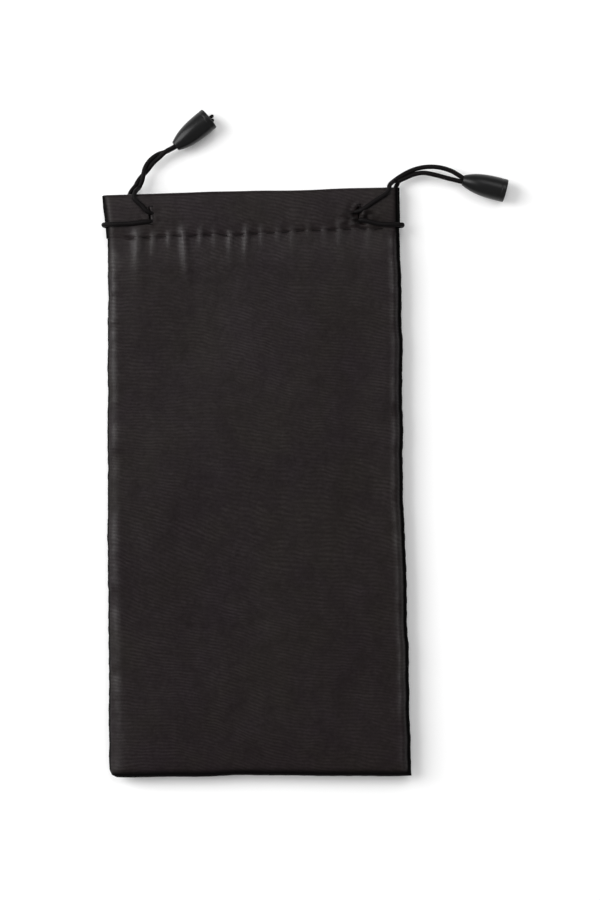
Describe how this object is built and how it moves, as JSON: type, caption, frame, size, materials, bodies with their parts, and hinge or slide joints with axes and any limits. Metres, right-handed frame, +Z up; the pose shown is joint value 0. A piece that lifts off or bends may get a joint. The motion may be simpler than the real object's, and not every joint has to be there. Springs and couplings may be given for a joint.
{
  "type": "soft pouch glasses case",
  "caption": "Flat soft drawstring pouch for folded glasses: two sewn cloth panels, a hemmed mouth, doubled drawcords and bell-shaped cord ends.",
  "frame": {"origin": "middle of the pouch, on the surface its back panel rests on", "axes": "+X to the right and +Y from the foot seam to the mouth, seen from the front panel; +Z up out of the front panel"},
  "size_m": [0.1203, 0.1991, 0.008],
  "materials": {
    "pouch_cloth": "woven microfibre, faint silky sheen",
    "cord": "fine braid, satin",
    "thread": "twisted thread",
    "cord_end_plastic": "moulded, satin gloss"
  },
  "bodies": {
    "back": {"back_panel": "pouch_cloth", "back_hem_stitching": "thread", "back_slit_stitching": "thread", "left_seam_stitching": "thread", "right_seam_stitching": "thread", "foot_seam_stitching": "thread", "left_cord_back": "cord", "right_cord_back": "cord"},
    "front": {"front_panel": "pouch_cloth", "front_hem_stitching": "thread", "front_slit_stitching": "thread", "left_cord_front": "cord", "right_cord_front": "cord"},
    "left_tail_base": {"left_tail_root": "cord"},
    "left_tail_tip": {"left_tail": "cord"},
    "left_bell": {"left_cord_end": "cord_end_plastic"},
    "right_tail_base": {"right_tail_root": "cord"},
    "right_tail_tip": {"right_tail": "cord"},
    "right_bell": {"right_cord_end": "cord_end_plastic"}
  },
  "joints": [
    {"name": "mouth_open", "type": "hinge", "parent": "back", "child": "front", "pos_m": [0, -0.0875, 0.004], "axis": [1, 0, 0], "range_deg": [0, 14]},
    {"name": "left_draw", "type": "slide", "parent": "back", "child": "left_tail_base", "axis": [-1, 0, 0], "range_m": [0, 0.03]},
    {"name": "left_tail_swing", "type": "hinge", "parent": "left_tail_base", "child": "left_tail_tip", "pos_m": [-0.03125, 0.0947, 0.0035], "axis": [0, 0, 1], "range_deg": [-38, 75]},
    {"name": "left_end_slide", "type": "slide", "parent": "left_tail_tip", "child": "left_bell", "axis": [-0.7694, -0.6388, 0], "range_m": [0, 0.006]},
    {"name": "right_draw", "type": "slide", "parent": "back", "child": "right_tail_base", "axis": [1, 0, 0], "range_m": [0, 0.03]},
    {"name": "right_tail_swing", "type": "hinge", "parent": "right_tail_base", "child": "right_tail_tip", "pos_m": [0.0527, 0.0928, 0.0035], "axis": [0, 0, 1], "range_deg": [-65, 75]},
    {"name": "right_end_slide", "type": "slide", "parent": "right_tail_tip", "child": "right_bell", "axis": [-0.969, 0.247, 0], "range_m": [0, 0.006]}
  ]
}
